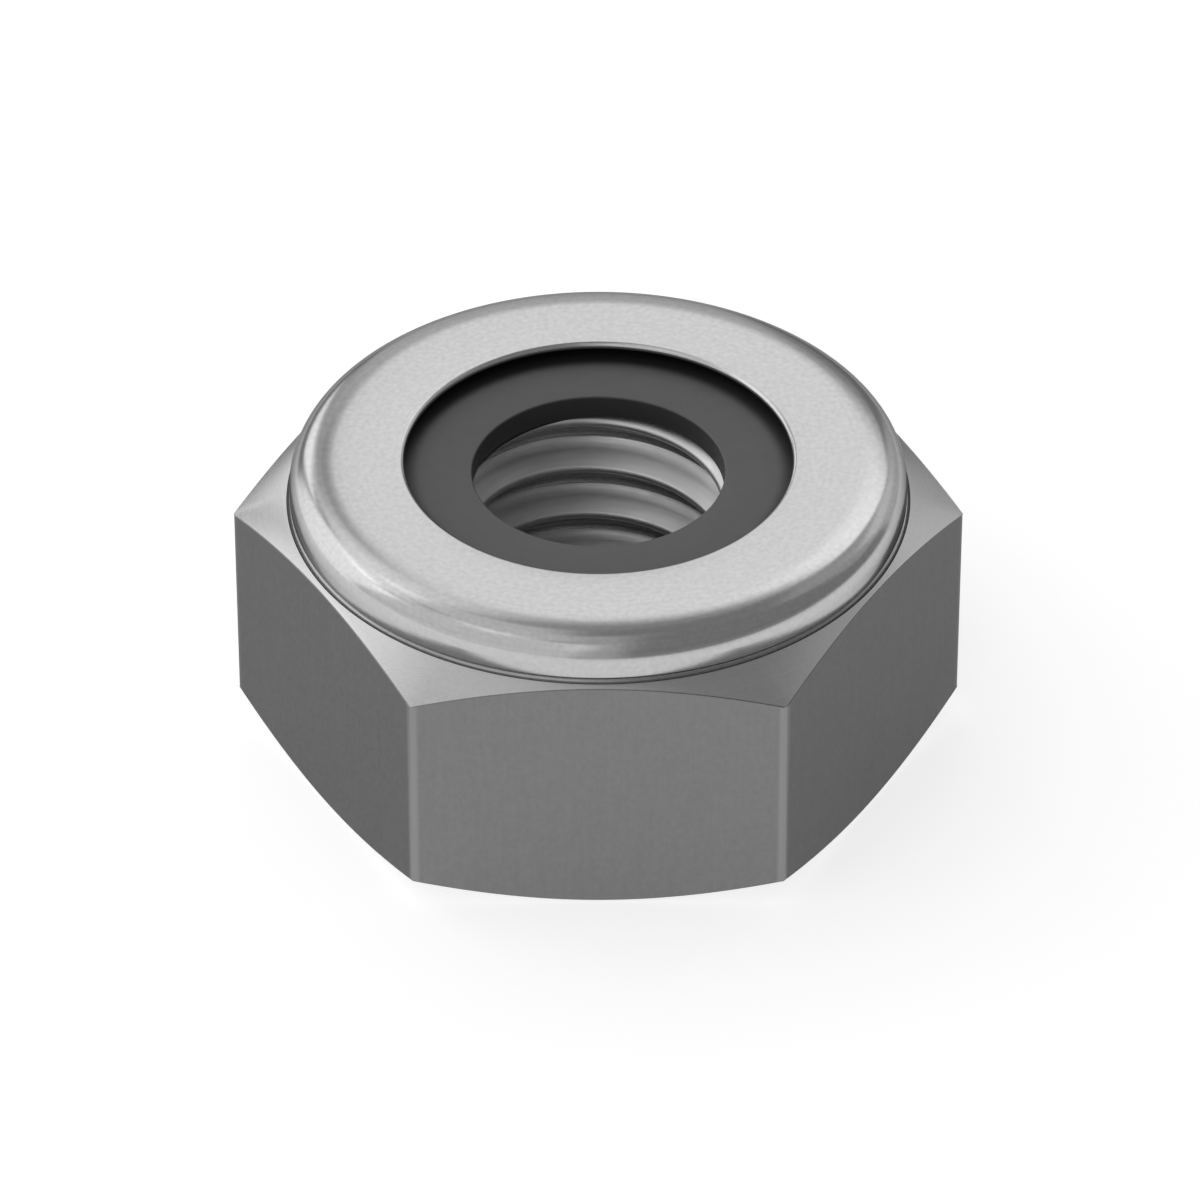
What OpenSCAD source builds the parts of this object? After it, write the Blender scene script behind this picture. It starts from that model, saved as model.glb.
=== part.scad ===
// Low-profile hexagon lock nut with a ring insert held under a rolled collar.
// The bearing face lies on z = 0, the thread's axis is z, and one flat faces -y.

/* [Hexagon] */
// Width across the flats
across_flats = 8.731; // [7.2:0.001:10.6]
// Height from the bearing face to the flat top of the collar
total_h = 4.34; // [3.6:0.01:5.4]
// Radius of the six upright edges
corner_r = 0.08; // [0.04:0.01:0.3]
// How far the bearing face's rim stands in from the flats
bearing_inset = 0.07; // [0.02:0.01:0.3]
// Slope of the lower chamfer
lower_chamfer_deg = 26; // [15:0.5:35]
// Slope of the upper chamfer
upper_chamfer_deg = 24.5; // [15:0.5:35]

/* [Collar] */
// How far the collar's wall stands in from the flats
collar_inset = 0.12; // [0.1:0.01:0.4]
// Height of the collar's flat top above the foot of its wall
collar_h = 0.64; // [0.52:0.01:0.9]
// Radius of the round groove where the wall meets the upper chamfer
foot_r = 0.05; // [0.03:0.01:0.12]
// How far the groove is cut into the wall and into the upper chamfer
foot_cut = 0.045; // [0:0.005:0.05]
// Radius of the tight bend at the top of the wall
shoulder_r = 0.4; // [0.2:0.01:0.5]
// Radius of the gentle curve between the tight bend and the flat top
crown_r = 1.92; // [1:0.01:2.5]
// Angle through which the gentle curve falls away
crown_deg = 10; // [5:0.5:15]

/* [Insert and its pocket] */
// Thickness of the insert
insert_t = 0.36; // [0.28:0.01:0.6]
// Bore of the insert
insert_bore_d = 3.47; // [2.8:0.01:4.2]
// Rounding of the insert's four edges
insert_edge_r = 0.04; // [0.02:0.01:0.1]
// Gap left round the outside of the insert
insert_gap = 0.01; // [0.01:0.01:0.05]
// Steel left between the pocket and the outside of the collar
collar_wall = 0.85; // [0.6:0.01:1.1]
// Thickness of the rolled lip over the insert
lip_t = 0.25; // [0.2:0.01:0.4]
// How far the rolled lip reaches in over the insert
lip_reach = 0.73; // [0.4:0.01:0.9]
// Rounding of the lip's inner edge
lip_edge_r = 0.06; // [0.02:0.01:0.1]
// Angle through which the lip's inner edge curls under
lip_curl_deg = 155; // [90:5:160]
// How far out from its inner edge the lip stands clear of the insert
lip_relief = 0.325; // [0.15:0.005:0.38]

/* [Thread] */
// Diameter inside the thread's crests, to which the nut is bored
thread_crest_d = 3.42; // [2.8:0.01:4]
// Diameter at the thread's roots, which the countersink clears
thread_root_d = 4.17; // [4.05:0.01:5]
// How far the countersink's rim stands outside the roots
countersink_clear = 0.09; // [0.02:0.01:0.2]

/* [Hidden] */
$fn = 96;
arc_steps = 12;
corner_steps = 8;
// How far the hexagon and the chamfers are drawn past the faces that they cut
past = 0.5;

flat_r = across_flats / 2;
corner_reach = flat_r / cos(30);
chamfer_reach = corner_reach + past;
bearing_r = flat_r - bearing_inset;

collar_r = flat_r - collar_inset;
foot_z = total_h - collar_h;
shoulder_centre = [collar_r - shoulder_r, total_h - crown_r + (crown_r - shoulder_r) * cos(crown_deg)];
crown_centre = [shoulder_centre.x - (crown_r - shoulder_r) * sin(crown_deg), total_h - crown_r];

pocket_r = collar_r - collar_wall;
lip_r = pocket_r - lip_reach;
lip_under_z = total_h - lip_t;
pocket_floor_z = lip_under_z - insert_t;
insert_r = pocket_r - insert_gap;
insert_bore_r = insert_bore_d / 2;

thread_crest_r = thread_crest_d / 2;
countersink_r = thread_root_d / 2 + countersink_clear;
// The countersink opens at 45 degrees, so it is as deep as it is wide
countersink_h = countersink_r - thread_crest_r;

// Points of an arc about a centre, from one angle to another
function arc(centre, r, from, to, steps = arc_steps) =
    [for (i = [0:steps]) let (a = from + (to - from) * i / steps) centre + r * [cos(a), sin(a)]];

// Height of each chamfer's cone at a radius
function lower_chamfer_z(r) = (r - bearing_r) * tan(lower_chamfer_deg);
function upper_chamfer_z(r) = foot_z - (r - collar_r) * tan(upper_chamfer_deg);

// The groove at the collar's foot cuts as far past the wall as past the upper chamfer
function foot_groove(slope) =
    let (
        stand = foot_r - foot_cut,
        past_touch = acos(stand / foot_r)
    )
    arc([collar_r + stand, foot_z + stand * (1 / cos(slope) - tan(slope))],
        foot_r, 270 - slope + past_touch, 180 - past_touch);

// Half section of the turned steel, from the bore's foot round to the pocket's floor
function nut_section() = concat(
    [
        [thread_crest_r, countersink_h],
        [countersink_r, 0],
        [bearing_r, 0],
        [chamfer_reach, lower_chamfer_z(chamfer_reach)],
        [chamfer_reach, upper_chamfer_z(chamfer_reach)]
    ],
    foot_groove(upper_chamfer_deg),
    arc(shoulder_centre, shoulder_r, 0, 90 - crown_deg),
    arc(crown_centre, crown_r, 90 - crown_deg, 90),
    arc([lip_r + lip_edge_r, total_h - lip_edge_r], lip_edge_r, 90, 90 + lip_curl_deg),
    [
        [lip_r + lip_relief, lip_under_z],
        [pocket_r, lip_under_z],
        [pocket_r, pocket_floor_z],
        [thread_crest_r, pocket_floor_z]
    ]
);

// Half section of the insert, with its four edges rounded
function insert_section() =
    let (
        inner = insert_bore_r + insert_edge_r,
        outer = insert_r - insert_edge_r,
        low = pocket_floor_z + insert_edge_r,
        high = lip_under_z - insert_edge_r
    )
    concat(
        arc([inner, low], insert_edge_r, 180, 270),
        arc([outer, low], insert_edge_r, 270, 360),
        arc([outer, high], insert_edge_r, 0, 90),
        arc([inner, high], insert_edge_r, 90, 180)
    );

// Outline of the hexagon, with a rounded corner every 60 degrees
function hexagon_outline() = [
    for (k = [0:5])
        let (a = k * 60, centre = (corner_reach - corner_r / cos(30)) * [cos(a), sin(a)])
        each arc(centre, corner_r, a - 30, a + 30, corner_steps)
];

module nut_body() {
    color("silver")
        intersection() {
            translate([0, 0, -past])
                linear_extrude(total_h + 2 * past)
                    polygon(hexagon_outline());
            rotate_extrude()
                polygon(nut_section());
        }
}

module locking_insert() {
    color("dimgray")
        rotate_extrude()
            polygon(insert_section());
}

nut_body();
locking_insert();
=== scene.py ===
# A low-profile hexagon lock nut: a threaded steel body, and the ring that its rolled collar holds.
# The bearing face lies on z = 0, the thread's axis is z, and lengths are in metres.
import math

import bpy
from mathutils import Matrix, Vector


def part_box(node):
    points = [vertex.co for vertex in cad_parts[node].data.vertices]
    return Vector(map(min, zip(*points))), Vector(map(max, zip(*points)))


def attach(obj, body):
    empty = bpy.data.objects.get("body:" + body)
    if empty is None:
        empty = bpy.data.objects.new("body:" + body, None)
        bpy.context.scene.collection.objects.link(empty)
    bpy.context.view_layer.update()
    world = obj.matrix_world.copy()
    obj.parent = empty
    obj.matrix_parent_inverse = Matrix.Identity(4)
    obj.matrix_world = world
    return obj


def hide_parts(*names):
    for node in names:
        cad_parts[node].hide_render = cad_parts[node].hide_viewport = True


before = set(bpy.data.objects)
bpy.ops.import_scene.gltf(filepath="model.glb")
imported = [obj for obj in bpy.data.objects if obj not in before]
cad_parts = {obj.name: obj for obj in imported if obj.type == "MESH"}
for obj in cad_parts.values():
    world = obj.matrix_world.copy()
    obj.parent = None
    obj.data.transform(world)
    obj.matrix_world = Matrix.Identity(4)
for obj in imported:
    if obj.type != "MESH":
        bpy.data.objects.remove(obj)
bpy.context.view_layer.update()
NUT_LOW, NUT_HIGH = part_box("nut_body")
INSERT_LOW, INSERT_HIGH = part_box("locking_insert")

bl_info = {
    "name": "Hexagon Lock Nut",
    "version": (1, 0, 0),
    "blender": (4, 5, 0),
    "location": "3D View > Sidebar > Lock Nut",
    "description": "Builds a hexagon lock nut with a ring held in its collar, and a stage for it",
    "category": "Add Mesh",
}

MM = 0.001
MICRON = 1e-6
FULL_TURN = 2 * math.pi
QUARTER_TURN = math.pi / 2
# Two points closer than this are one point
SAME_POINT = 1e-7
# A point that is this near to a flat lies on it
ON_FLAT = 1e-6

# Faces that one turn of each form is made of
BODY_STEPS = 240
RING_STEPS = 180
THREAD_STEPS = 96
# Two faces that meet at less than this are shaded as one
SMOOTH_BELOW = math.radians(25)
# A flat meets a chamfer at about this turn
FLAT_TO_CHAMFER = math.radians(64)
# A face is a flat under the first of these slants of its normal, and a chamfer under the second
FLAT_SLANT = 0.85
CHAMFER_SLANT = 0.99

# How many times a metre each pattern changes along x, y and z. The rings and the scores
# change outwards and along z instead
TOOL_RINGS = (20000, 20000, 1)
TURNED_GRAIN = (14000, 14000, 14000)
DRAWN_STREAKS = (16000, 16000, 900)
DRAWN_MOTTLE = (15000, 15000, 12000)
TAP_SCORES = (16000, 16000, 1)
TAPPED_GRAIN = (5000, 5000, 12000)
NYLON_MOTTLE = (5000, 5000, 5000)
NYLON_GRAIN = (14000, 14000, 14000)
# Nearly all of a pattern lies between these two values
PATTERN_LOW = 0.3
PATTERN_HIGH = 0.7


class NutSizes(bpy.types.PropertyGroup):
    """Sizes of the steel body"""

    across_flats: bpy.props.FloatProperty(
        name="Across flats",
        description="Distance between two opposite flats",
        default=NUT_HIGH.y - NUT_LOW.y,
        unit="LENGTH",
    )
    height: bpy.props.FloatProperty(
        name="Height",
        description="Height from the bearing face to the flat top of the collar",
        default=NUT_HIGH.z,
        unit="LENGTH",
    )
    corner_r: bpy.props.FloatProperty(
        name="Corner radius",
        description="Radius of the six upright edges",
        default=0.11 * MM,
        unit="LENGTH",
    )
    edge_r: bpy.props.FloatProperty(
        name="Chamfer edge radius",
        description="Radius where a flat meets a chamfer",
        default=0.02 * MM,
        unit="LENGTH",
    )
    bearing_inset: bpy.props.FloatProperty(
        name="Bearing face inset",
        description="How far the bearing face's rim stands in from the flats",
        default=0.07 * MM,
        unit="LENGTH",
    )
    lower_chamfer: bpy.props.FloatProperty(
        name="Lower chamfer",
        description="Slope of the lower chamfer",
        default=math.radians(26),
        subtype="ANGLE",
    )
    upper_chamfer: bpy.props.FloatProperty(
        name="Upper chamfer",
        description="Slope of the upper chamfer",
        default=math.radians(24.5),
        subtype="ANGLE",
    )
    collar_inset: bpy.props.FloatProperty(
        name="Collar inset",
        description="How far the collar's wall stands in from the flats",
        default=0.12 * MM,
        unit="LENGTH",
    )
    collar_h: bpy.props.FloatProperty(
        name="Collar height",
        description="Height of the collar's flat top above the foot of its wall",
        default=0.64 * MM,
        unit="LENGTH",
    )
    foot_r: bpy.props.FloatProperty(
        name="Foot radius",
        description="Radius of the round groove where the collar's wall meets the upper chamfer",
        default=0.05 * MM,
        unit="LENGTH",
    )
    foot_cut: bpy.props.FloatProperty(
        name="Foot cut",
        description="How far the groove is cut into the wall and into the upper chamfer",
        default=0.045 * MM,
        unit="LENGTH",
    )
    shoulder_r: bpy.props.FloatProperty(
        name="Shoulder radius",
        description="Radius of the tight bend at the top of the collar's wall",
        default=0.4 * MM,
        unit="LENGTH",
    )
    crown_r: bpy.props.FloatProperty(
        name="Crown radius",
        description="Radius of the gentle curve between the tight bend and the flat top",
        default=1.92 * MM,
        unit="LENGTH",
    )
    crown_angle: bpy.props.FloatProperty(
        name="Crown angle",
        description="Angle through which the gentle curve falls away",
        default=math.radians(10),
        subtype="ANGLE",
    )
    pocket_r: bpy.props.FloatProperty(
        name="Pocket radius",
        description="Radius of the pocket that holds the ring",
        default=INSERT_HIGH.x + 0.01 * MM,
        unit="LENGTH",
    )
    lip_reach: bpy.props.FloatProperty(
        name="Lip reach",
        description="How far the rolled lip reaches in over the ring",
        default=0.73 * MM,
        unit="LENGTH",
    )
    lip_edge_r: bpy.props.FloatProperty(
        name="Lip edge radius",
        description="Rounding of the lip's inner edge",
        default=0.06 * MM,
        unit="LENGTH",
    )
    lip_curl: bpy.props.FloatProperty(
        name="Lip curl",
        description="Angle through which the lip's inner edge curls under",
        default=math.radians(155),
        subtype="ANGLE",
    )
    lip_relief: bpy.props.FloatProperty(
        name="Lip relief",
        description="How far out from its inner edge the lip stands clear of the ring",
        default=0.325 * MM,
        unit="LENGTH",
    )
    countersink_r: bpy.props.FloatProperty(
        name="Countersink radius",
        description="Radius of the countersink where it opens in the bearing face",
        default=2.175 * MM,
        unit="LENGTH",
    )


class ThreadSizes(bpy.types.PropertyGroup):
    """Sizes of the thread"""

    pitch: bpy.props.FloatProperty(
        name="Pitch",
        description="Rise of the thread in one turn: 32 threads to the inch",
        default=25.4 / 32 * MM,
        unit="LENGTH",
    )
    crest_r: bpy.props.FloatProperty(
        name="Crest radius",
        description="Radius inside the thread's crests",
        default=1.71 * MM,
        unit="LENGTH",
    )
    root_r: bpy.props.FloatProperty(
        name="Root radius",
        description="Radius at the thread's roots",
        default=2.085 * MM,
        unit="LENGTH",
    )
    root_rounding: bpy.props.FloatProperty(
        name="Root radius of curvature",
        description="Radius to which the thread's roots are rounded",
        default=0.24 * MM,
        unit="LENGTH",
    )
    crest_rounding: bpy.props.FloatProperty(
        name="Crest rounding",
        description="How far the rounding of the crests runs along each face",
        default=0.04 * MM,
        unit="LENGTH",
    )
    back_crest_z: bpy.props.FloatProperty(
        name="Crest height at the back",
        description="Height at +Y of a crest's lower edge, which sets how the thread is turned",
        default=2.8 * MM,
        unit="LENGTH",
    )


class InsertSizes(bpy.types.PropertyGroup):
    """Sizes of the ring that grips the screw"""

    outer_r: bpy.props.FloatProperty(
        name="Outer radius",
        description="Outer radius of the ring",
        default=INSERT_HIGH.x,
        unit="LENGTH",
    )
    bore_r: bpy.props.FloatProperty(
        name="Bore radius",
        description="Radius of the ring's bore",
        default=1.735 * MM,
        unit="LENGTH",
    )
    low_z: bpy.props.FloatProperty(
        name="Underside",
        description="Height of the ring's underside, which lies on the pocket's floor",
        default=INSERT_LOW.z,
        unit="LENGTH",
    )
    high_z: bpy.props.FloatProperty(
        name="Top",
        description="Height of the ring's top, which the lip holds down",
        default=INSERT_HIGH.z,
        unit="LENGTH",
    )
    edge_r: bpy.props.FloatProperty(
        name="Edge radius",
        description="Rounding of the ring's four edges",
        default=0.03 * MM,
        unit="LENGTH",
    )


class Finish(bpy.types.PropertyGroup):
    """Colours and roughness of the steel and the nylon"""

    # The flats' low grey is partly the duller drawn skin and partly painted shade for the dark
    # surroundings that the flats mirror
    flat_skin_and_shade_dark: bpy.props.FloatVectorProperty(
        name="Flats, dark",
        description="Darker grey of the drawn flats",
        default=(0.19, 0.19, 0.19),
        subtype="COLOR",
    )
    flat_skin_and_shade_pale: bpy.props.FloatVectorProperty(
        name="Flats, pale",
        description="Paler grey of the drawn flats",
        default=(0.216, 0.216, 0.216),
        subtype="COLOR",
    )
    flat_roughness: bpy.props.FloatProperty(
        name="Flats' roughness",
        description="Mean roughness of the drawn flats",
        default=0.31,
        subtype="FACTOR",
    )
    # Painted highlight: the six upright edges get a paler grey that stands in for the light they
    # catch
    corner_highlight_colour: bpy.props.FloatVectorProperty(
        name="Corners",
        description="Grey of the six upright edges, which are rubbed bright",
        default=(0.26, 0.26, 0.26),
        subtype="COLOR",
    )
    turned_dark: bpy.props.FloatVectorProperty(
        name="Turned faces, dark",
        description="Darker grey of the turned faces",
        default=(0.475, 0.475, 0.475),
        subtype="COLOR",
    )
    turned_pale: bpy.props.FloatVectorProperty(
        name="Turned faces, pale",
        description="Paler grey of the turned faces",
        default=(0.55, 0.55, 0.55),
        subtype="COLOR",
    )
    # Painted shade: the groove at the collar's foot gets a darker grey that stands in for the shade
    # in that crease
    groove_shade_dark: bpy.props.FloatVectorProperty(
        name="Groove, dark",
        description="Darker grey of the groove at the collar's foot, which the plating leaves dull",
        default=(0.32, 0.32, 0.32),
        subtype="COLOR",
    )
    groove_shade_pale: bpy.props.FloatVectorProperty(
        name="Groove, pale",
        description="Paler grey of the groove at the collar's foot",
        default=(0.38, 0.38, 0.38),
        subtype="COLOR",
    )
    turned_roughness: bpy.props.FloatProperty(
        name="Turned faces' roughness",
        description="Mean roughness of the turned faces",
        default=0.2,
        subtype="FACTOR",
    )
    chamfer_dark: bpy.props.FloatVectorProperty(
        name="Chamfers, dark",
        description="Darker grey of the two chamfers",
        default=(0.505, 0.505, 0.505),
        subtype="COLOR",
    )
    chamfer_pale: bpy.props.FloatVectorProperty(
        name="Chamfers, pale",
        description="Paler grey of the two chamfers",
        default=(0.54, 0.54, 0.54),
        subtype="COLOR",
    )
    chamfer_roughness: bpy.props.FloatProperty(
        name="Chamfers' roughness",
        description="Mean roughness of the two chamfers",
        default=0.27,
        subtype="FACTOR",
    )
    thread_dark: bpy.props.FloatVectorProperty(
        name="Thread, dark",
        description="Darker grey of the thread",
        default=(0.56, 0.56, 0.56),
        subtype="COLOR",
    )
    thread_pale: bpy.props.FloatVectorProperty(
        name="Thread, pale",
        description="Paler grey of the thread",
        default=(0.66, 0.66, 0.66),
        subtype="COLOR",
    )
    thread_roughness: bpy.props.FloatProperty(
        name="Thread's roughness",
        description="Mean roughness of the thread",
        default=0.42,
        subtype="FACTOR",
    )
    nylon_dark: bpy.props.FloatVectorProperty(
        name="Nylon, dark",
        description="Darker grey of the ring",
        default=(0.081, 0.081, 0.081),
        subtype="COLOR",
    )
    nylon_pale: bpy.props.FloatVectorProperty(
        name="Nylon, pale",
        description="Paler grey of the ring",
        default=(0.094, 0.094, 0.094),
        subtype="COLOR",
    )
    # Painted shade: the ring's bore gets a darker grey that stands in for the shade in the hole
    nylon_bore_shade: bpy.props.FloatVectorProperty(
        name="Nylon, bore",
        description="Grey of the ring's bore, which is darker than its top",
        default=(0.035, 0.035, 0.035),
        subtype="COLOR",
    )
    # Painted shade: the ring next to the rolled lip gets a near-black grey that stands in for the
    # shadow under the lip
    nylon_lip_shade: bpy.props.FloatVectorProperty(
        name="Nylon, rim",
        description="Grey of the ring next to the rolled lip, where grease and dirt have gathered",
        default=(0.012, 0.012, 0.012),
        subtype="COLOR",
    )
    nylon_roughness: bpy.props.FloatProperty(
        name="Nylon's roughness",
        description="Mean roughness of the ring",
        default=0.5,
        subtype="FACTOR",
    )


class StageSettings(bpy.types.PropertyGroup):
    """Floor and room round the nut"""

    floor_colour: bpy.props.FloatVectorProperty(
        name="Floor",
        description="Colour of the floor",
        default=(0.5, 0.5, 0.5),
        subtype="COLOR",
    )
    floor_lift: bpy.props.FloatProperty(
        name="Floor lift",
        description="Light that the floor adds where it is seen or mirrored, which makes it white",
        default=0.7,
    )
    room_colour: bpy.props.FloatVectorProperty(
        name="Room",
        description="Colour of the room between the lights",
        default=(0.28, 0.28, 0.28),
        subtype="COLOR",
    )


class Outline:
    """An upright outline in the plane y = 0, drawn corner by corner and then turned about z."""

    def __init__(self, name, x, z):
        bpy.ops.object.select_all(action="DESELECT")
        bpy.ops.mesh.primitive_plane_add(size=MM, location=(x, 0, z))
        bpy.ops.object.transform_apply(location=True, rotation=True, scale=True)
        self.piece = bpy.context.object
        self.piece.name = name
        bpy.ops.object.mode_set(mode="EDIT")
        bpy.ops.mesh.merge(type="CENTER")
        self.place = Vector((x, 0, z))

    def line(self, x, z):
        """Extrudes the last corner to a new place."""
        place = Vector((x, 0, z))
        bpy.ops.mesh.extrude_vertices_move(
            TRANSFORM_OT_translate={"value": place - self.place}
        )
        self.place = place

    def arc(self, x, z, turn, steps):
        """Spins the last corner about a centre. A positive turn is anticlockwise, seen from -y."""
        centre = Vector((x, 0, z))
        bpy.ops.mesh.spin(steps=steps, angle=turn, center=centre, axis=(0, 1, 0))
        arm = self.place - centre
        self.place = centre + Vector(
            (
                arm.x * math.cos(turn) - arm.z * math.sin(turn),
                0,
                arm.x * math.sin(turn) + arm.z * math.cos(turn),
            )
        )

    def close(self):
        """Joins the last corner to the first, which it has come back to."""
        bpy.ops.mesh.select_all(action="SELECT")
        bpy.ops.mesh.remove_doubles(threshold=SAME_POINT)


def turn_about_z(steps):
    """Spins the outline that is being edited into a closed ring with its faces outwards."""
    bpy.ops.mesh.select_all(action="SELECT")
    bpy.ops.mesh.spin(
        steps=steps, angle=FULL_TURN, center=(0, 0, 0), axis=(0, 0, 1), use_auto_merge=True
    )
    bpy.ops.mesh.select_all(action="SELECT")
    bpy.ops.mesh.remove_doubles(threshold=SAME_POINT)
    bpy.ops.mesh.normals_make_consistent(inside=False)
    bpy.ops.object.mode_set(mode="OBJECT")


def select_only(piece):
    """Selects one object and makes it the active one."""
    bpy.ops.object.select_all(action="DESELECT")
    piece.select_set(True)
    bpy.context.view_layer.objects.active = piece


def apply_modifier(piece, modifier):
    """Applies a modifier to its piece."""
    select_only(piece)
    bpy.ops.object.modifier_apply(modifier=modifier.name)


def flat_normals():
    """Outward directions of the six flats, with one facing -y."""
    angles = [math.radians(30 + 60 * k) for k in range(6)]
    return [Vector((math.cos(a), math.sin(a), 0)) for a in angles]


def foot_centre(sizes):
    """Centre of the groove at the collar's foot, as distance from the z axis and height."""
    collar_r = sizes.across_flats / 2 - sizes.collar_inset
    foot_z = sizes.height - sizes.collar_h
    stand = sizes.foot_r - sizes.foot_cut
    rise = 1 / math.cos(sizes.upper_chamfer) - math.tan(sizes.upper_chamfer)
    return Vector((collar_r + stand, foot_z + stand * rise))


def turned_blank(sizes):
    """The body before its flats and thread are cut: chamfers, collar, lip and pocket."""
    flat_r = sizes.across_flats / 2
    past_corner = 0.1 * MM
    reach = flat_r / math.cos(math.radians(30)) + past_corner
    bearing_r = flat_r - sizes.bearing_inset
    collar_r = flat_r - sizes.collar_inset
    foot_z = sizes.height - sizes.collar_h
    lower, upper = sizes.lower_chamfer, sizes.upper_chamfer
    foot = foot_centre(sizes)
    past_touch = math.acos((sizes.foot_r - sizes.foot_cut) / sizes.foot_r)
    foot_start = past_touch - QUARTER_TURN - upper
    bend = sizes.crown_r - sizes.shoulder_r
    crown_fall = sizes.crown_angle
    crown_z = sizes.height - sizes.crown_r
    shoulder = Vector((collar_r - sizes.shoulder_r, crown_z + bend * math.cos(crown_fall)))
    crown = Vector((shoulder.x - bend * math.sin(crown_fall), crown_z))
    lip_r = sizes.pocket_r - sizes.lip_reach
    # The tap cuts out of a smaller hole
    pilot_r = 1.55 * MM

    outline = Outline("nut_body_mesh", pilot_r, sizes.countersink_r - pilot_r)
    outline.line(sizes.countersink_r, 0)
    outline.line(bearing_r, 0)
    outline.line(reach, (reach - bearing_r) * math.tan(lower))
    outline.line(reach, foot_z - (reach - collar_r) * math.tan(upper))
    outline.line(
        foot.x + sizes.foot_r * math.cos(foot_start), foot.y + sizes.foot_r * math.sin(foot_start)
    )
    outline.arc(foot.x, foot.y, upper - QUARTER_TURN - 2 * past_touch, 16)
    outline.line(collar_r, shoulder.y)
    outline.arc(shoulder.x, shoulder.y, QUARTER_TURN - crown_fall, 14)
    outline.arc(crown.x, crown.y, crown_fall, 5)
    outline.line(lip_r + sizes.lip_edge_r, sizes.height)
    outline.arc(lip_r + sizes.lip_edge_r, sizes.height - sizes.lip_edge_r, sizes.lip_curl, 10)
    outline.line(lip_r + sizes.lip_relief, INSERT_HIGH.z)
    outline.line(sizes.pocket_r, INSERT_HIGH.z)
    outline.line(sizes.pocket_r, INSERT_LOW.z)
    outline.line(pilot_r, INSERT_LOW.z)
    outline.line(pilot_r, sizes.countersink_r - pilot_r)
    outline.close()
    turn_about_z(BODY_STEPS)
    return outline.piece


def cut_flats(blank, sizes):
    """Cuts the six flats and closes each cut with a face."""
    select_only(blank)
    bpy.ops.object.mode_set(mode="EDIT")
    for normal in flat_normals():
        bpy.ops.mesh.select_all(action="SELECT")
        bpy.ops.mesh.bisect(
            plane_co=normal * sizes.across_flats / 2,
            plane_no=normal,
            use_fill=True,
            clear_outer=True,
            threshold=ON_FLAT,
        )
    bpy.ops.object.mode_set(mode="OBJECT")


def round_hexagon_edges(body, sizes):
    """Rounds the six upright edges, and by less the edges between flats and chamfers."""
    mesh = body.data
    corner_width = sizes.corner_r * math.tan(math.radians(30))
    edge_width = sizes.edge_r * math.tan(FLAT_TO_CHAMFER / 2)
    weights = mesh.attributes.new("bevel_weight_edge", "FLOAT", "EDGE")
    for edge in mesh.edges:
        ends = [mesh.vertices[v].co for v in edge.vertices]
        on_flats = [
            normal for normal in flat_normals()
            if all(abs(end.dot(normal) - sizes.across_flats / 2) < ON_FLAT for end in ends)
        ]
        if len(on_flats) == 2:
            weights.data[edge.index].value = 1
        elif len(on_flats) == 1:
            weights.data[edge.index].value = edge_width / corner_width
    bevel = body.modifiers.new("rounded_edges", "BEVEL")
    bevel.limit_method = "WEIGHT"
    bevel.offset_type = "OFFSET"
    bevel.width = corner_width
    bevel.segments = 4
    bevel.use_clamp_overlap = False
    apply_modifier(body, bevel)


def thread_tap(thread):
    """A closed solid of the thread's form, one turn after another, as a tap fills it."""
    # Flanks at 60 degrees would meet as far past the root as its rounding's radius
    meeting_r = thread.root_r + thread.root_rounding
    flank_rise = (meeting_r - thread.crest_r) * math.tan(math.radians(30))
    crest_flat = thread.pitch - 2 * flank_rise
    turns = 8
    # The outline is drawn at +x and the crest is set at +y, a quarter of a turn further on
    start_z = thread.back_crest_z - thread.pitch / 4 + crest_flat / 2 - 5 * thread.pitch
    outline = Outline("tap", thread.crest_r, start_z)
    outline.line(thread.crest_r, start_z + crest_flat / 2)
    outline.line(meeting_r, start_z + thread.pitch / 2)
    outline.line(thread.crest_r, start_z + thread.pitch - crest_flat / 2)
    outline.line(thread.crest_r, start_z + thread.pitch)
    bpy.ops.object.mode_set(mode="OBJECT")
    tap = outline.piece
    round_corners(tap, meeting_r, thread.root_rounding / math.tan(math.radians(30)))
    round_corners(tap, thread.crest_r, thread.crest_rounding)
    screw = tap.modifiers.new("turns", "SCREW")
    screw.screw_offset = thread.pitch
    screw.iterations = turns
    screw.steps = THREAD_STEPS
    screw.render_steps = THREAD_STEPS
    apply_modifier(tap, screw)
    bpy.ops.object.mode_set(mode="EDIT")
    bpy.ops.mesh.select_all(action="SELECT")
    bpy.ops.mesh.remove_doubles(threshold=SAME_POINT)
    middle = start_z + thread.pitch * (turns + 1) / 2
    for above in (False, True):
        close_tap_end(tap, middle, above)
    bpy.ops.mesh.select_mode(type="VERT")
    bpy.ops.mesh.select_all(action="SELECT")
    bpy.ops.mesh.normals_make_consistent(inside=False)
    bpy.ops.object.mode_set(mode="OBJECT")
    return tap


def round_corners(tap, radius, rounding):
    """Rounds the tap's corners at a radius, apart from the two ends of its outline."""
    heights = [vertex.co.z for vertex in tap.data.vertices]
    ends = (min(heights), max(heights))
    for vertex in tap.data.vertices:
        at_radius = abs(vertex.co.x - radius) < SAME_POINT
        vertex.select = at_radius and min(abs(vertex.co.z - end) for end in ends) > SAME_POINT
    bpy.ops.object.mode_set(mode="EDIT")
    bpy.ops.mesh.bevel(affect="VERTICES", offset=rounding, segments=7, profile=0.5)
    bpy.ops.mesh.select_all(action="DESELECT")
    bpy.ops.object.mode_set(mode="OBJECT")


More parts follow.
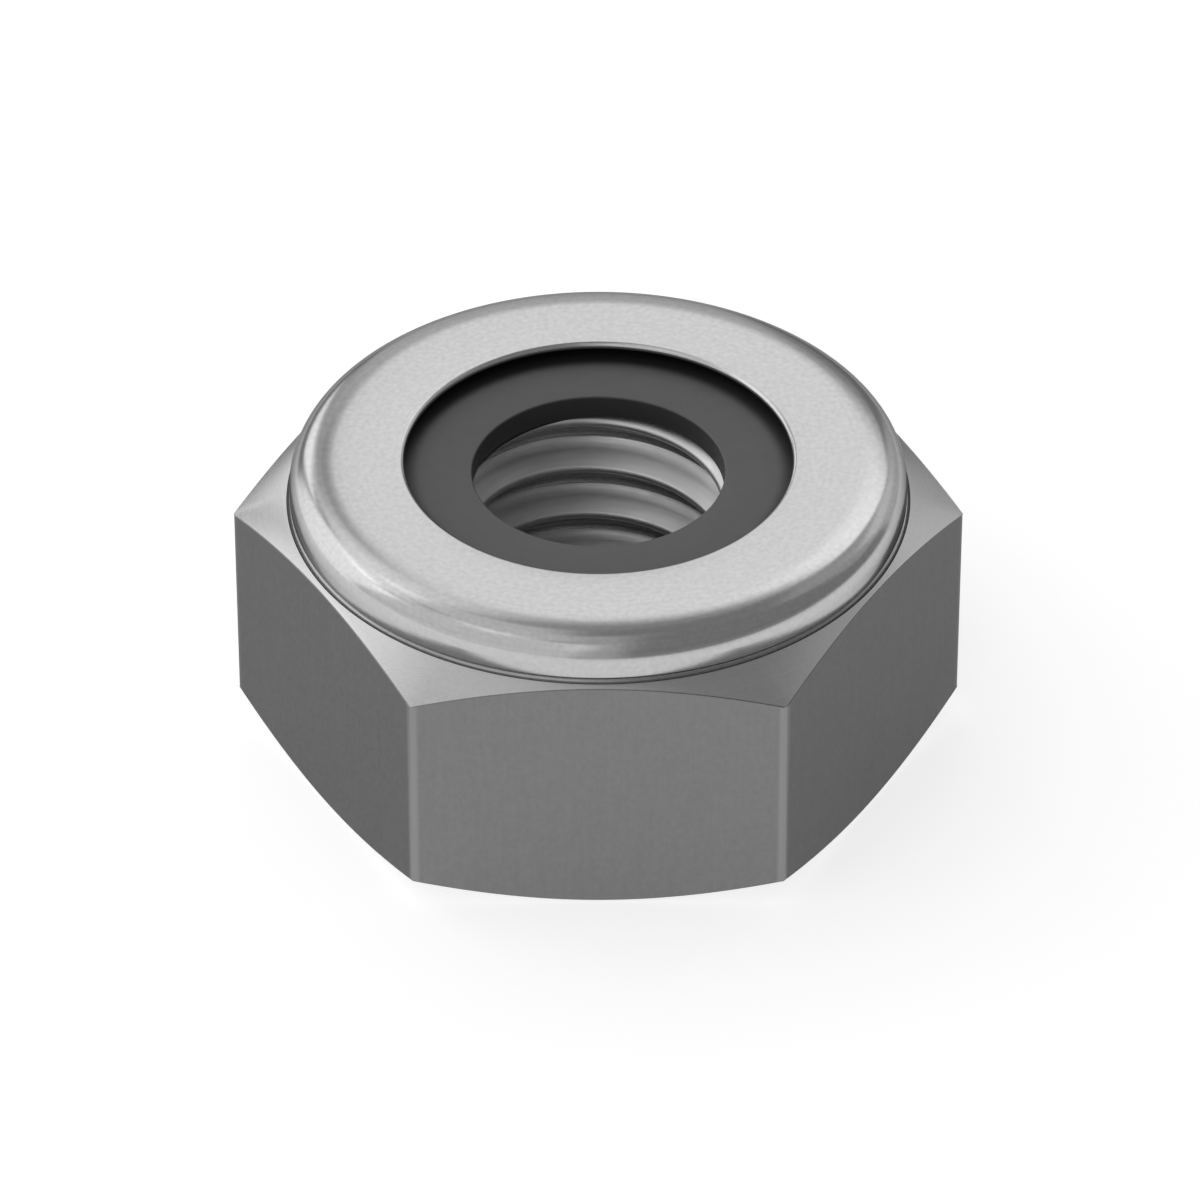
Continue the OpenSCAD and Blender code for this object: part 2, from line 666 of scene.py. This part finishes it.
def close_tap_end(tap, middle, above):
    """Draws one open end of the tap together into a point on its axis."""
    bpy.ops.mesh.select_mode(type="EDGE")
    bpy.ops.mesh.select_all(action="DESELECT")
    bpy.ops.mesh.select_non_manifold(
        extend=False,
        use_wire=False,
        use_multi_face=False,
        use_non_contiguous=False,
        use_verts=False,
    )
    bpy.ops.object.mode_set(mode="OBJECT")
    mesh = tap.data
    for edge in mesh.edges:
        high = mesh.vertices[edge.vertices[0]].co.z > middle
        edge.select = edge.select and high == above
    bpy.ops.object.mode_set(mode="EDIT")
    bpy.ops.mesh.extrude_edges_move(TRANSFORM_OT_translate={"value": (0, 0, 0)})
    bpy.ops.mesh.merge(type="CENTER")


def cut_thread(body, thread):
    """Cuts the thread through the body with the tap."""
    tap = thread_tap(thread)
    cut = body.modifiers.new("thread", "BOOLEAN")
    cut.operation = "DIFFERENCE"
    cut.solver = "EXACT"
    cut.object = tap
    apply_modifier(body, cut)
    bpy.data.objects.remove(tap)


def smooth_shading(piece):
    """Smooth shading that leaves flat faces flat and keeps sharp edges sharp."""
    select_only(piece)
    bpy.ops.object.shade_smooth_by_angle(angle=SMOOTH_BELOW)
    weighted = piece.modifiers.new("weighted_normals", "WEIGHTED_NORMAL")
    weighted.keep_sharp = True
    apply_modifier(piece, weighted)


def new_material(name):
    """An empty principled material: the material, its node tree and its shader."""
    material = bpy.data.materials.new(name)
    material.use_nodes = True
    tree = material.node_tree
    return material, tree, tree.nodes["Principled BSDF"]


def object_place(tree):
    """The place of a shaded point on its piece."""
    return tree.nodes.new("ShaderNodeTexCoord").outputs["Object"]


def scaled(tree, place, per_metre):
    """A place stretched along its three axes, which sets how fine a pattern is along each."""
    mapping = tree.nodes.new("ShaderNodeMapping")
    mapping.inputs["Scale"].default_value = per_metre
    tree.links.new(place, mapping.inputs["Vector"])
    return mapping.outputs["Vector"]


def rise_with_distance(tree, near, far):
    """0 up to one distance from the z axis, rising to 1 at a further one."""
    distance = tree.nodes.new("ShaderNodeVectorMath")
    distance.operation = "LENGTH"
    rise = tree.nodes.new("ShaderNodeMapRange")
    rise.interpolation_type = "SMOOTHSTEP"
    rise.inputs["From Min"].default_value = near
    rise.inputs["From Max"].default_value = far
    tree.links.new(scaled(tree, object_place(tree), (1, 1, 0)), distance.inputs[0])
    tree.links.new(distance.outputs["Value"], rise.inputs["Value"])
    return rise.outputs["Result"]


def round_the_axis(tree, place):
    """A place as distance from the z axis and height, so that patterns run round the axis."""
    split = tree.nodes.new("ShaderNodeSeparateXYZ")
    flattened = tree.nodes.new("ShaderNodeCombineXYZ")
    distance = tree.nodes.new("ShaderNodeVectorMath")
    distance.operation = "LENGTH"
    joined = tree.nodes.new("ShaderNodeCombineXYZ")
    tree.links.new(place, split.inputs["Vector"])
    tree.links.new(split.outputs["X"], flattened.inputs["X"])
    tree.links.new(split.outputs["Y"], flattened.inputs["Y"])
    tree.links.new(flattened.outputs["Vector"], distance.inputs[0])
    tree.links.new(distance.outputs["Value"], joined.inputs["X"])
    tree.links.new(split.outputs["Z"], joined.inputs["Y"])
    return joined.outputs["Vector"]


def noise(tree, place, per_metre):
    """Noise from 0 to 1 that changes a number of times a metre along each axis of a place."""
    texture = tree.nodes.new("ShaderNodeTexNoise")
    texture.inputs["Scale"].default_value = 1
    texture.inputs["Detail"].default_value = 2
    tree.links.new(scaled(tree, place, per_metre), texture.inputs["Vector"])
    return texture.outputs["Fac"]


def average(tree, first, second, share):
    """A blend of two patterns, with a share of the second."""
    blend = tree.nodes.new("ShaderNodeMix")
    blend.inputs["Factor"].default_value = share
    tree.links.new(first, blend.inputs["A"])
    tree.links.new(second, blend.inputs["B"])
    return blend.outputs["Result"]


def vary_colour(tree, shader, pattern, dark, pale):
    """Lets the colour run from dark to pale with a pattern."""
    ramp = tree.nodes.new("ShaderNodeValToRGB")
    ramp.color_ramp.elements[0].position = PATTERN_LOW
    ramp.color_ramp.elements[0].color = (*dark, 1)
    ramp.color_ramp.elements[1].position = PATTERN_HIGH
    ramp.color_ramp.elements[1].color = (*pale, 1)
    tree.links.new(pattern, ramp.inputs["Fac"])
    tree.links.new(ramp.outputs["Color"], shader.inputs["Base Color"])


def vary_roughness(tree, shader, pattern, mean, swing):
    """Lets the roughness swing about its mean with a pattern."""
    span = tree.nodes.new("ShaderNodeMapRange")
    span.inputs["From Min"].default_value = PATTERN_LOW
    span.inputs["From Max"].default_value = PATTERN_HIGH
    span.inputs["To Min"].default_value = mean - swing
    span.inputs["To Max"].default_value = mean + swing
    tree.links.new(pattern, span.inputs["Value"])
    tree.links.new(span.outputs["Result"], shader.inputs["Roughness"])


def add_bump(tree, shader, pattern, height):
    """Raises the surface with a pattern, by a height in metres."""
    bump = tree.nodes.new("ShaderNodeBump")
    bump.inputs["Strength"].default_value = 1
    bump.inputs["Distance"].default_value = height
    tree.links.new(pattern, bump.inputs["Height"])
    tree.links.new(bump.outputs["Normal"], shader.inputs["Normal"])


def tint_where(tree, shader, mask, colour):
    """Takes the colour over to another one where the mask is 1."""
    blend = tree.nodes.new("ShaderNodeMix")
    blend.data_type = "RGBA"
    sockets = {socket.identifier: socket for socket in (*blend.inputs, *blend.outputs)}
    below = shader.inputs["Base Color"].links[0].from_socket
    tree.links.new(mask, sockets["Factor_Float"])
    tree.links.new(below, sockets["A_Color"])
    sockets["B_Color"].default_value = (*colour, 1)
    tree.links.new(sockets["Result_Color"], shader.inputs["Base Color"])


def drawn_and_shaded_steel(sizes, finish):
    """The flats: dull drawn bar, mottled, faintly streaked along its length, with painted
    highlights on the corners.
    """
    material, tree, shader = new_material("drawn_and_shaded_steel")
    place = object_place(tree)
    streaks = noise(tree, place, DRAWN_STREAKS)
    mottle = noise(tree, place, DRAWN_MOTTLE)
    pattern = average(tree, streaks, mottle, 0.7)
    # The low grey is partly the duller drawn skin and partly painted shade for the dark
    # surroundings that the flats mirror
    vary_colour(tree, shader, pattern, finish.flat_skin_and_shade_dark, finish.flat_skin_and_shade_pale)
    # Painted highlight: the rounded upright edges get a paler grey that stands in for the light
    # they catch
    corner = sizes.across_flats / 2 / math.cos(math.radians(30))
    corner_highlight = rise_with_distance(tree, corner - 0.55 * sizes.corner_r, corner - 0.25 * sizes.corner_r)
    tint_where(tree, shader, corner_highlight, finish.corner_highlight_colour)
    vary_roughness(tree, shader, mottle, finish.flat_roughness, 0.03)
    add_bump(tree, shader, pattern, 0.35 * MICRON)
    shader.inputs["Metallic"].default_value = 1
    # The dull skin shines less at a slant than clean steel
    shader.inputs["Specular Tint"].default_value = (0.36, 0.36, 0.36, 1)
    return material


def turned_steel(name, colours, roughness, relief):
    """Steel turned on a lathe, with very fine rings left by the tool and a faint grain."""
    material, tree, shader = new_material(name)
    place = object_place(tree)
    rings = noise(tree, round_the_axis(tree, place), TOOL_RINGS)
    grain = noise(tree, place, TURNED_GRAIN)
    pattern = average(tree, rings, grain, 0.65)
    vary_colour(tree, shader, pattern, *colours)
    vary_roughness(tree, shader, rings, roughness, 0.01)
    add_bump(tree, shader, pattern, relief)
    shader.inputs["Metallic"].default_value = 1
    # Seen at a slant the faces are darker, which draws the collar's outline
    shader.inputs["Specular Tint"].default_value = (0.3, 0.3, 0.3, 1)
    return material


def tapped_steel(finish):
    """The thread: steel scored by the tap along its turns."""
    material, tree, shader = new_material("tapped_steel")
    place = object_place(tree)
    scores = noise(tree, round_the_axis(tree, place), TAP_SCORES)
    grain = noise(tree, place, TAPPED_GRAIN)
    pattern = average(tree, scores, grain, 0.35)
    vary_colour(tree, shader, pattern, finish.thread_dark, finish.thread_pale)
    vary_roughness(tree, shader, grain, finish.thread_roughness, 0.04)
    add_bump(tree, shader, scores, 0.8 * MICRON)
    shader.inputs["Metallic"].default_value = 1
    return material


def moulded_nylon(sizes, lip_r, finish):
    """The ring: dark nylon with a soft sheen and a mottle, with painted shade in the bore and by
    the lip.
    """
    material, tree, shader = new_material("moulded_nylon")
    place = object_place(tree)
    mottle = noise(tree, place, NYLON_MOTTLE)
    grain = noise(tree, place, NYLON_GRAIN)
    pattern = average(tree, mottle, grain, 0.5)
    vary_colour(tree, shader, pattern, finish.nylon_dark, finish.nylon_pale)
    # Painted shade: the bore gets a darker grey that stands in for the shade in the hole
    off_bore = rise_with_distance(tree, sizes.bore_r, sizes.bore_r + 0.6 * sizes.edge_r)
    bore_shade_mask = tree.nodes.new("ShaderNodeMath")
    bore_shade_mask.operation = "SUBTRACT"
    bore_shade_mask.inputs[0].default_value = 1
    tree.links.new(off_bore, bore_shade_mask.inputs[1])
    tint_where(tree, shader, bore_shade_mask.outputs["Value"], finish.nylon_bore_shade)
    # Painted shade: next to the lip the ring gets a near-black grey that stands in for the shadow
    # under the lip
    lip_shade_start = lip_r - 0.22 * MM
    lip_shade_full = lip_r - 0.04 * MM
    lip_shade_mask = rise_with_distance(tree, lip_shade_start, lip_shade_full)
    tint_where(tree, shader, lip_shade_mask, finish.nylon_lip_shade)
    vary_roughness(tree, shader, grain, finish.nylon_roughness, 0.04)
    add_bump(tree, shader, pattern, 0.5 * MICRON)
    shader.inputs["IOR"].default_value = 1.5
    return material


def finish_body(body, sizes, thread, finish):
    """Gives turned faces, chamfers, groove, flats and thread their own steel."""
    face_colours = (finish.turned_dark, finish.turned_pale)
    chamfer_colours = (finish.chamfer_dark, finish.chamfer_pale)
    groove_shade_colours = (finish.groove_shade_dark, finish.groove_shade_pale)
    materials = (
        turned_steel("turned_steel", face_colours, finish.turned_roughness, 0.06 * MICRON),
        turned_steel("chamfered_steel", chamfer_colours, finish.chamfer_roughness, 0.02 * MICRON),
        # The groove's darker grey is painted shade for the crease at the collar's foot
        turned_steel("groove_shade_steel", groove_shade_colours, finish.chamfer_roughness, 0.06 * MICRON),
        drawn_and_shaded_steel(sizes, finish),
        tapped_steel(finish),
    )
    mesh = body.data
    for material in materials:
        mesh.materials.append(material)
    turned, chamfered, grooved, drawn, tapped = range(len(materials))
    foot = foot_centre(sizes)
    for face in mesh.polygons:
        distance = face.center.xy.length
        if (Vector((distance, face.center.z)) - foot).length < sizes.foot_r + SAME_POINT:
            face.material_index = grooved
        elif distance > foot.x and abs(face.normal.z) < FLAT_SLANT:
            face.material_index = drawn
        elif distance > foot.x and abs(face.normal.z) < CHAMFER_SLANT:
            face.material_index = chamfered
        elif distance < thread.root_r + SAME_POINT and face.center.z < INSERT_LOW.z - SAME_POINT:
            face.material_index = tapped
        else:
            face.material_index = turned


def add_camera(scene):
    """A long lens that looks down on the nut from the front."""
    elevation = math.radians(36.933)
    distance = 114.18 * MM
    target = Vector((0.023 * MM, 0, 1.862 * MM))
    lens = bpy.data.cameras.new("camera")
    lens.sensor_width = 36
    lens.lens = 246.47
    lens.clip_start = 0.01
    lens.clip_end = 10
    camera = bpy.data.objects.new("camera", lens)
    scene.collection.objects.link(camera)
    camera.location = target + distance * Vector((0, -math.cos(elevation), math.sin(elevation)))
    camera.rotation_euler = (QUARTER_TURN - elevation, 0, 0)
    scene.camera = camera


def either_ray(tree, kinds):
    """1 for a ray of any of the kinds, and 0 for the rest."""
    rays = tree.nodes.new("ShaderNodeLightPath")
    result = rays.outputs[kinds[0]]
    for kind in kinds[1:]:
        larger = tree.nodes.new("ShaderNodeMath")
        larger.operation = "MAXIMUM"
        tree.links.new(result, larger.inputs[0])
        tree.links.new(rays.outputs[kind], larger.inputs[1])
        result = larger.outputs["Value"]
    return result


def floor_material(stage):
    """A pale floor that keeps its shadow, and is lifted to white where it is seen or mirrored."""
    material, tree, shader = new_material("pale_floor")
    shader.inputs["Base Color"].default_value = (*stage.floor_colour, 1)
    shader.inputs["Roughness"].default_value = 1
    shader.inputs["Specular IOR Level"].default_value = 0
    shader.inputs["Emission Color"].default_value = (1, 1, 1, 1)
    lift = tree.nodes.new("ShaderNodeMath")
    lift.operation = "MULTIPLY"
    lift.inputs[1].default_value = stage.floor_lift
    seen = either_ray(tree, ("Is Camera Ray", "Is Glossy Ray", "Is Transmission Ray"))
    tree.links.new(seen, lift.inputs[0])
    # Under the nut the floor is dark, and the lift sets in towards the hexagon's rim
    shaded_r = 0.6 * NUT_HIGH.y
    open_floor = rise_with_distance(tree, shaded_r, NUT_HIGH.y)
    shaded = tree.nodes.new("ShaderNodeMath")
    shaded.operation = "MULTIPLY"
    tree.links.new(lift.outputs["Value"], shaded.inputs[0])
    tree.links.new(open_floor, shaded.inputs[1])
    tree.links.new(shaded.outputs["Value"], shader.inputs["Emission Strength"])
    return material


def add_floor(stage):
    """A wide plain floor under the bearing face."""
    bpy.ops.object.select_all(action="DESELECT")
    bpy.ops.mesh.primitive_plane_add(size=2, location=(0, 0, 0))
    floor = bpy.context.object
    floor.name = "floor"
    floor.data.materials.append(floor_material(stage))


def soft_light(scene, name, azimuth, elevation, across, up, radiance):
    """A softbox that faces the collar and spreads across and up by angles as seen from there.

    Angles are in degrees, and azimuth runs from the back towards +x.
    """
    distance = 150 * MM
    area = bpy.data.lights.new(name, "AREA")
    area.shape = "RECTANGLE"
    area.size = 2 * distance * math.tan(math.radians(across / 2))
    area.size_y = 2 * distance * math.tan(math.radians(up / 2))
    area.energy = radiance * area.size * area.size_y * math.pi
    lamp = bpy.data.objects.new(name, area)
    scene.collection.objects.link(lamp)
    a, e = math.radians(azimuth), math.radians(elevation)
    away = Vector((math.sin(a) * math.cos(e), math.cos(a) * math.cos(e), math.sin(e)))
    lamp.location = Vector((0, 0, NUT_HIGH.z)) + away * distance
    lamp.rotation_euler = away.to_track_quat("Z", "Y").to_euler()
    lamp.visible_camera = False


def add_lights(scene, stage):
    """Softboxes all round the nut, in a dim plain room."""
    world = bpy.data.worlds.new("room")
    world.use_nodes = True
    world.node_tree.nodes["Background"].inputs["Color"].default_value = (*stage.room_colour, 1)
    scene.world = world
    soft_light(
        scene, "left_light", azimuth=-66, elevation=14, across=49, up=60, radiance=1.15
    )
    soft_light(
        scene, "front_left_light", azimuth=-132, elevation=12, across=78, up=100, radiance=0.57
    )
    soft_light(
        scene, "upper_left_light", azimuth=-47, elevation=51, across=48, up=18, radiance=0.95
    )
    soft_light(
        scene, "top_left_light", azimuth=-85, elevation=72, across=52, up=26, radiance=0.5
    )
    soft_light(
        scene, "back_left_light", azimuth=-26, elevation=23, across=16, up=22, radiance=1.45
    )
    soft_light(
        scene, "low_back_light", azimuth=-3, elevation=3, across=20, up=58, radiance=0.45
    )
    soft_light(
        scene, "back_light", azimuth=11, elevation=40, across=30, up=20, radiance=1.0
    )
    soft_light(
        scene, "upper_back_light", azimuth=18, elevation=42, across=16, up=14, radiance=0.35
    )
    soft_light(
        scene, "back_right_light", azimuth=43, elevation=3, across=34, up=68, radiance=0.4
    )
    soft_light(
        scene, "upper_right_light", azimuth=56, elevation=39, across=40, up=38, radiance=0.2
    )
    soft_light(
        scene, "front_light", azimuth=180, elevation=39, across=17, up=100, radiance=0.26
    )


class MESH_OT_add_nut_body(bpy.types.Operator):
    """Add the steel body with its flats, chamfers, collar and thread"""

    bl_idname = "mesh.add_nut_body"
    bl_label = "Nut Body"

    def execute(self, context):
        scene = context.scene
        sizes = scene.nut_sizes
        body = turned_blank(sizes)
        cut_flats(body, sizes)
        round_hexagon_edges(body, sizes)
        cut_thread(body, scene.thread_sizes)
        smooth_shading(body)
        finish_body(body, sizes, scene.thread_sizes, scene.nut_finish)
        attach(body, "root")
        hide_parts("nut_body")
        return {"FINISHED"}


class MESH_OT_add_locking_insert(bpy.types.Operator):
    """Add the ring that lies in the collar's pocket and grips the screw"""

    bl_idname = "mesh.add_locking_insert"
    bl_label = "Locking Insert"

    def execute(self, context):
        scene = context.scene
        sizes = scene.insert_sizes
        lip_r = scene.nut_sizes.pocket_r - scene.nut_sizes.lip_reach
        low, high = sizes.low_z, sizes.high_z
        outline = Outline("locking_insert_mesh", sizes.bore_r, low)
        outline.line(sizes.outer_r, low)
        outline.line(sizes.outer_r, high)
        outline.line(sizes.bore_r, high)
        outline.line(sizes.bore_r, low)
        outline.close()
        bpy.ops.mesh.bevel(affect="VERTICES", offset=sizes.edge_r, segments=4, profile=0.5)
        turn_about_z(RING_STEPS)
        ring = outline.piece
        smooth_shading(ring)
        ring.data.materials.append(moulded_nylon(sizes, lip_r, scene.nut_finish))
        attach(ring, "root")
        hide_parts("locking_insert")
        return {"FINISHED"}


class SCENE_OT_add_nut_stage(bpy.types.Operator):
    """Add the floor, the lights and the camera"""

    bl_idname = "scene.add_nut_stage"
    bl_label = "Stage"

    def execute(self, context):
        scene = context.scene
        add_camera(scene)
        add_floor(scene.nut_stage)
        add_lights(scene, scene.nut_stage)
        scene.view_settings.view_transform = "Standard"
        return {"FINISHED"}


class VIEW3D_PT_lock_nut(bpy.types.Panel):
    """Lists the pieces of the lock nut"""

    bl_label = "Lock Nut"
    bl_idname = "VIEW3D_PT_lock_nut"
    bl_space_type = "VIEW_3D"
    bl_region_type = "UI"
    bl_category = "Lock Nut"

    def draw(self, context):
        for operator in OPERATORS:
            self.layout.operator(operator.bl_idname)


GROUPS = {
    "nut_sizes": NutSizes,
    "thread_sizes": ThreadSizes,
    "insert_sizes": InsertSizes,
    "nut_finish": Finish,
    "nut_stage": StageSettings,
}
OPERATORS = (MESH_OT_add_nut_body, MESH_OT_add_locking_insert, SCENE_OT_add_nut_stage)


def register():
    for name, group in GROUPS.items():
        bpy.utils.register_class(group)
        setattr(bpy.types.Scene, name, bpy.props.PointerProperty(type=group))
    for cls in (*OPERATORS, VIEW3D_PT_lock_nut):
        bpy.utils.register_class(cls)


def unregister():
    for cls in (VIEW3D_PT_lock_nut, *reversed(OPERATORS)):
        bpy.utils.unregister_class(cls)
    for name, group in GROUPS.items():
        delattr(bpy.types.Scene, name)
        bpy.utils.unregister_class(group)


def main():
    register()
    bpy.ops.mesh.add_nut_body()
    bpy.ops.mesh.add_locking_insert()
    bpy.ops.scene.add_nut_stage()


if __name__ == "__main__":
    main()
